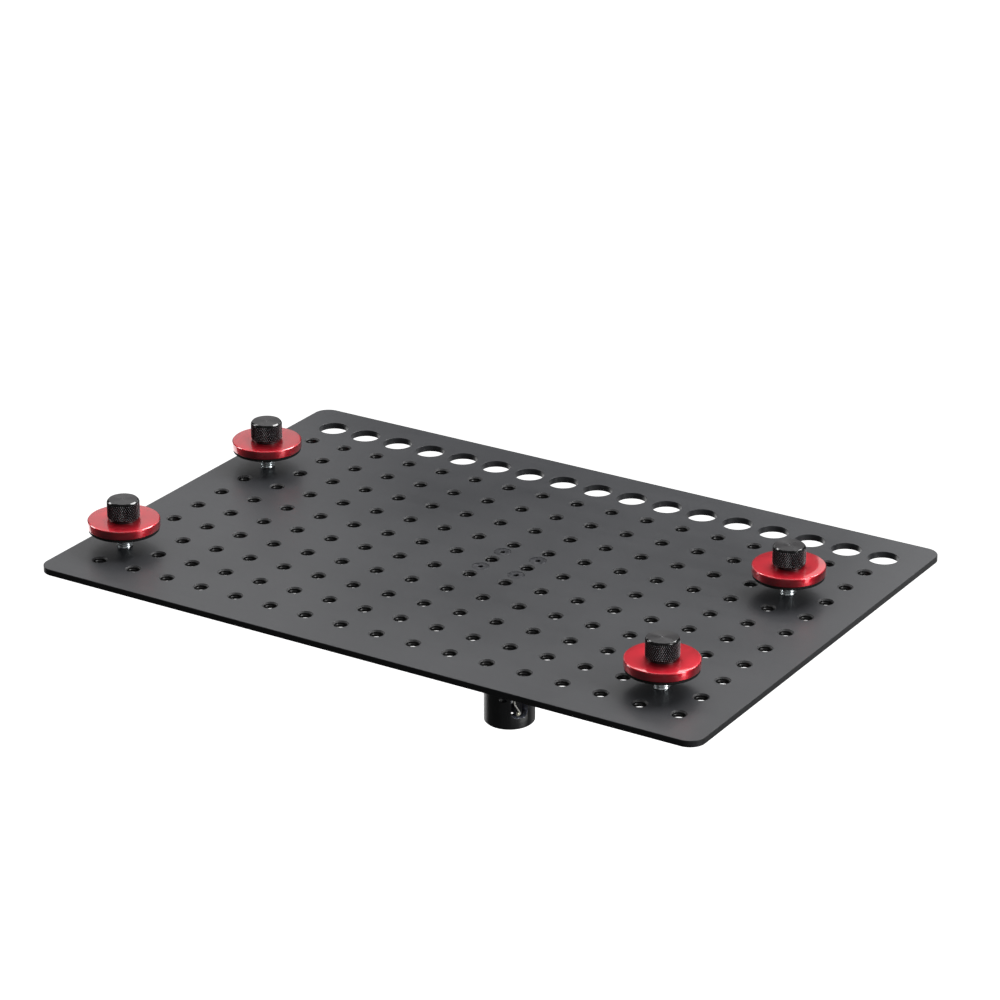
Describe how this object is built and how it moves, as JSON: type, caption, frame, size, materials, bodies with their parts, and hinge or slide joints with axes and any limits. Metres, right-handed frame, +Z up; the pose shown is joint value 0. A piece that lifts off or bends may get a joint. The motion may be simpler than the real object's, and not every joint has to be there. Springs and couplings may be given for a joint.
{
  "type": "tethering table",
  "caption": "Drilled aluminium table plate on a quick-lock spigot socket, with screw-down disc clamps that hold a laptop on a light stand.",
  "frame": {"origin": "centre of the socket's lower rim, on the axis of the stand's spigot", "axes": "+X along the plate's front edge, to the right seen from the front; +Y to the back, where the cable holes are; +Z up, square to the plate"},
  "size_m": [0.453, 0.305, 0.1348],
  "materials": {
    "plate_black_anodised": "satin black anodised",
    "socket_black_anodised": "satin black anodised",
    "knob_black_anodised": "black anodised, knurled",
    "red_anodised": "red anodised, fine turned",
    "black_rubber": "matt",
    "zinc_steel": "bright zinc plated",
    "spring_wire": "drawn wire",
    "black_oxide_steel": "black oxide"
  },
  "bodies": {
    "table": {"table_plate": "plate_black_anodised", "mounting_flange": "socket_black_anodised", "socket_body": "socket_black_anodised", "flange_screw_1": "black_oxide_steel", "flange_screw_2": "black_oxide_steel", "flange_screw_3": "black_oxide_steel", "flange_screw_4": "black_oxide_steel", "latch_pivot_pin": "zinc_steel"},
    "latch": {"latch_pawl": "black_oxide_steel", "latch_peg": "zinc_steel", "latch_spring": "spring_wire"},
    "front_left_clamp_pad": {"front_left_disc": "red_anodised", "front_left_pad": "black_rubber"},
    "front_left_clamp_screw": {"front_left_knob": "knob_black_anodised", "front_left_stud": "zinc_steel", "front_left_retaining_ring": "black_oxide_steel"},
    "rear_left_clamp_pad": {"rear_left_disc": "red_anodised", "rear_left_pad": "black_rubber"},
    "rear_left_clamp_screw": {"rear_left_knob": "knob_black_anodised", "rear_left_stud": "zinc_steel", "rear_left_retaining_ring": "black_oxide_steel"},
    "front_right_clamp_pad": {"front_right_disc": "red_anodised", "front_right_pad": "black_rubber"},
    "front_right_clamp_screw": {"front_right_knob": "knob_black_anodised", "front_right_stud": "zinc_steel", "front_right_retaining_ring": "black_oxide_steel"},
    "rear_right_clamp_pad": {"rear_right_disc": "red_anodised", "rear_right_pad": "black_rubber"},
    "rear_right_clamp_screw": {"rear_right_knob": "knob_black_anodised", "rear_right_stud": "zinc_steel", "rear_right_retaining_ring": "black_oxide_steel"}
  },
  "joints": [
    {"name": "latch_pivot", "type": "hinge", "parent": "table", "child": "latch", "pos_m": [0.01003, -0.00677, 0.02], "axis": [-0.5592, -0.829, 0], "range_deg": [0, 14], "stiffness_Nm_per_rad": 0.02, "springref_deg": -28.65},
    {"name": "front_left_travel", "type": "slide", "parent": "table", "child": "front_left_clamp_pad", "axis": [0, 0, 1], "range_m": [-0.0107, 0.009]},
    {"name": "front_left_turn", "type": "hinge", "parent": "front_left_clamp_pad", "child": "front_left_clamp_screw", "pos_m": [-0.2125, -0.1, 0.104], "axis": [0, 0, 1], "range_deg": [-2427, 2042]},
    {"name": "rear_left_travel", "type": "slide", "parent": "table", "child": "rear_left_clamp_pad", "axis": [0, 0, 1], "range_m": [-0.0107, 0.009]},
    {"name": "rear_left_turn", "type": "hinge", "parent": "rear_left_clamp_pad", "child": "rear_left_clamp_screw", "pos_m": [-0.2125, 0.05, 0.104], "axis": [0, 0, 1], "range_deg": [-2427, 2042]},
    {"name": "front_right_travel", "type": "slide", "parent": "table", "child": "front_right_clamp_pad", "axis": [0, 0, 1], "range_m": [-0.0107, 0.009]},
    {"name": "front_right_turn", "type": "hinge", "parent": "front_right_clamp_pad", "child": "front_right_clamp_screw", "pos_m": [0.1625, -0.1, 0.104], "axis": [0, 0, 1], "range_deg": [-2427, 2042]},
    {"name": "rear_right_travel", "type": "slide", "parent": "table", "child": "rear_right_clamp_pad", "axis": [0, 0, 1], "range_m": [-0.0107, 0.009]},
    {"name": "rear_right_turn", "type": "hinge", "parent": "rear_right_clamp_pad", "child": "rear_right_clamp_screw", "pos_m": [0.1625, 0.05, 0.104], "axis": [0, 0, 1], "range_deg": [-2427, 2042]}
  ],
  "couplings": [
    {"joint": "front_left_turn", "follows": "front_left_travel", "rad_per_m": 3957.9},
    {"joint": "rear_left_turn", "follows": "rear_left_travel", "rad_per_m": 3957.9},
    {"joint": "front_right_turn", "follows": "front_right_travel", "rad_per_m": 3957.9},
    {"joint": "rear_right_turn", "follows": "rear_right_travel", "rad_per_m": 3957.9}
  ]
}
